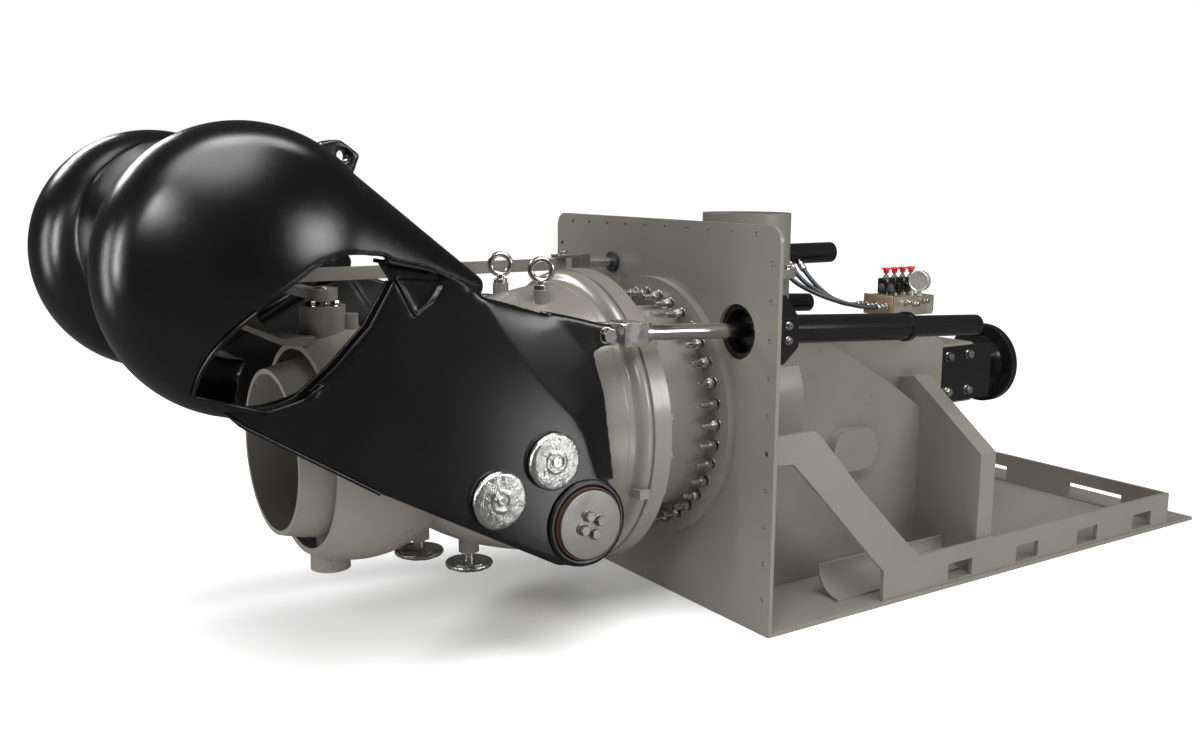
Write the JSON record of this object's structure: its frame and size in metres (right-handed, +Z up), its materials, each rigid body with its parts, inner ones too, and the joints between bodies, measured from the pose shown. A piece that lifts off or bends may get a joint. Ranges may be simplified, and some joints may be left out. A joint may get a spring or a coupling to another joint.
{
  "type": "marine waterjet",
  "caption": "Marine waterjet with intake duct, axial pump, steerable nozzle, tilting twin-lobed reverse duct, hydraulic rams and a transom plate on a hull frame.",
  "frame": {"origin": "centre of the transom plate's side bolt pattern, on the pump line at the plate's aft face", "axes": "+X along the pump line to the front, +Y to port, +Z up"},
  "size_m": [3.638, 1.08, 1.327],
  "materials": {
    "grey_casting": "warm grey satin paint on cast aluminium",
    "frame_paint": "warm grey satin paint",
    "black_paint": "black gloss paint on cast aluminium",
    "black_steel": "black satin paint",
    "bright_steel": "stainless steel",
    "ground_chrome": "ground and chromed",
    "plated_steel": "grey steel",
    "zinc": "bright hammered anode metal",
    "bronze": "dull bronze",
    "black_rubber": "black rubber",
    "block_aluminium": "milled aluminium",
    "gauge_case": "steel case with a dial",
    "red_plastic": "red gloss plastic"
  },
  "bodies": {
    "hull_side": {"transom_plate": "frame_paint", "base_plate": "frame_paint", "side_rails": "frame_paint", "front_rail": "frame_paint", "knees": "frame_paint", "bottom_fairings": "frame_paint", "intake_duct": "grey_casting", "intake_screen": "bright_steel", "impeller_housing": "grey_casting", "wear_ring": "bright_steel", "transom_ring": "frame_paint", "ring_studs": "bright_steel", "bowl_flange_bolts": "bright_steel", "stator_bowl": "grey_casting", "tail_bearing": "black_rubber", "nozzle_housing": "grey_casting", "steering_bushes": "bronze", "steering_cylinder": "plated_steel", "ram_mounts": "black_steel", "duct_pivot_pins": "bright_steel", "pivot_caps": "frame_paint", "housing_bolts": "bright_steel", "inspection_neck": "grey_casting", "pivot_cap_bolts": "frame_paint", "lifting_eyes": "bright_steel", "bowl_anodes": "zinc", "bearing_housing": "grey_casting", "bearing_outer_ring": "bright_steel", "shaft_and_rod_seals": "black_rubber", "coupling_brackets": "black_steel", "inspection_pipe": "grey_casting", "valve_block": "block_aluminium", "valve_fittings": "plated_steel", "pressure_gauge": "gauge_case", "hose_1": "black_rubber", "hose_2": "black_rubber", "hose_3": "black_rubber"},
    "duct": {"reverse_duct": "black_paint", "duct_bushes": "bronze", "duct_anodes": "zinc", "ram_pin_heads": "bright_steel"},
    "barrels": {"ram_barrels": "plated_steel"},
    "rods": {"ram_rods": "ground_chrome", "ram_eyes": "bright_steel"},
    "nozzle": {"steering_nozzle": "grey_casting", "steering_pins": "bright_steel", "tiller": "frame_paint", "tiller_pin": "bright_steel"},
    "link": {"steering_link": "bright_steel"},
    "steer_rod": {"steering_rod": "ground_chrome", "steering_fork": "bright_steel", "steering_fork_pin": "bright_steel"},
    "shaft": {"main_shaft": "ground_chrome", "impeller": "bright_steel", "bearing_inner_ring": "bright_steel", "drive_flange": "plated_steel"},
    "button_1": {"push_button_1": "red_plastic"},
    "button_2": {"push_button_2": "red_plastic"},
    "button_3": {"push_button_3": "red_plastic"},
    "button_4": {"push_button_4": "red_plastic"}
  },
  "joints": [
    {"name": "duct_tilt", "type": "hinge", "parent": "hull_side", "child": "duct", "pos_m": [-0.512, 0, -0.172], "axis": [0, -1, 0], "range_deg": [0, 36]},
    {"name": "ram_swing", "type": "hinge", "parent": "hull_side", "child": "barrels", "pos_m": [0.075, 0, 0.259], "axis": [0, -1, 0], "range_deg": [0, 4.4]},
    {"name": "ram_stroke", "type": "slide", "parent": "barrels", "child": "rods", "axis": [-0.9987, 0, 0.0504], "range_m": [0, 0.285]},
    {"name": "nozzle_steer", "type": "hinge", "parent": "hull_side", "child": "nozzle", "pos_m": [-1.008, 0, 0], "axis": [0, 0, 1], "range_deg": [-22, 22]},
    {"name": "link_swing", "type": "hinge", "parent": "nozzle", "child": "link", "pos_m": [-1.008, 0.212, 0.408], "axis": [0, 0, 1], "range_deg": [-23, 23]},
    {"name": "steering_stroke", "type": "slide", "parent": "hull_side", "child": "steer_rod", "axis": [1, 0, 0], "range_m": [-0.081, 0.081]},
    {"name": "shaft_spin", "type": "hinge", "parent": "hull_side", "child": "shaft", "pos_m": [0, 0, 0], "axis": [1, 0, 0], "continuous": true},
    {"name": "button_1_press", "type": "slide", "parent": "hull_side", "child": "button_1", "axis": [0, 0, -1], "range_m": [0, 0.005], "stiffness_N_per_m": 400, "springref_m": -0.003},
    {"name": "button_2_press", "type": "slide", "parent": "hull_side", "child": "button_2", "axis": [0, 0, -1], "range_m": [0, 0.005], "stiffness_N_per_m": 400, "springref_m": -0.003},
    {"name": "button_3_press", "type": "slide", "parent": "hull_side", "child": "button_3", "axis": [0, 0, -1], "range_m": [0, 0.005], "stiffness_N_per_m": 400, "springref_m": -0.003},
    {"name": "button_4_press", "type": "slide", "parent": "hull_side", "child": "button_4", "axis": [0, 0, -1], "range_m": [0, 0.005], "stiffness_N_per_m": 400, "springref_m": -0.003}
  ],
  "couplings": [
    {"joint": "ram_swing", "follows": "duct_tilt", "ratio": 0.11812},
    {"joint": "ram_stroke", "follows": "duct_tilt", "m_per_rad": 0.44872},
    {"joint": "link_swing", "follows": "nozzle_steer", "ratio": -1},
    {"joint": "steering_stroke", "follows": "nozzle_steer", "m_per_rad": -0.2068}
  ]
}
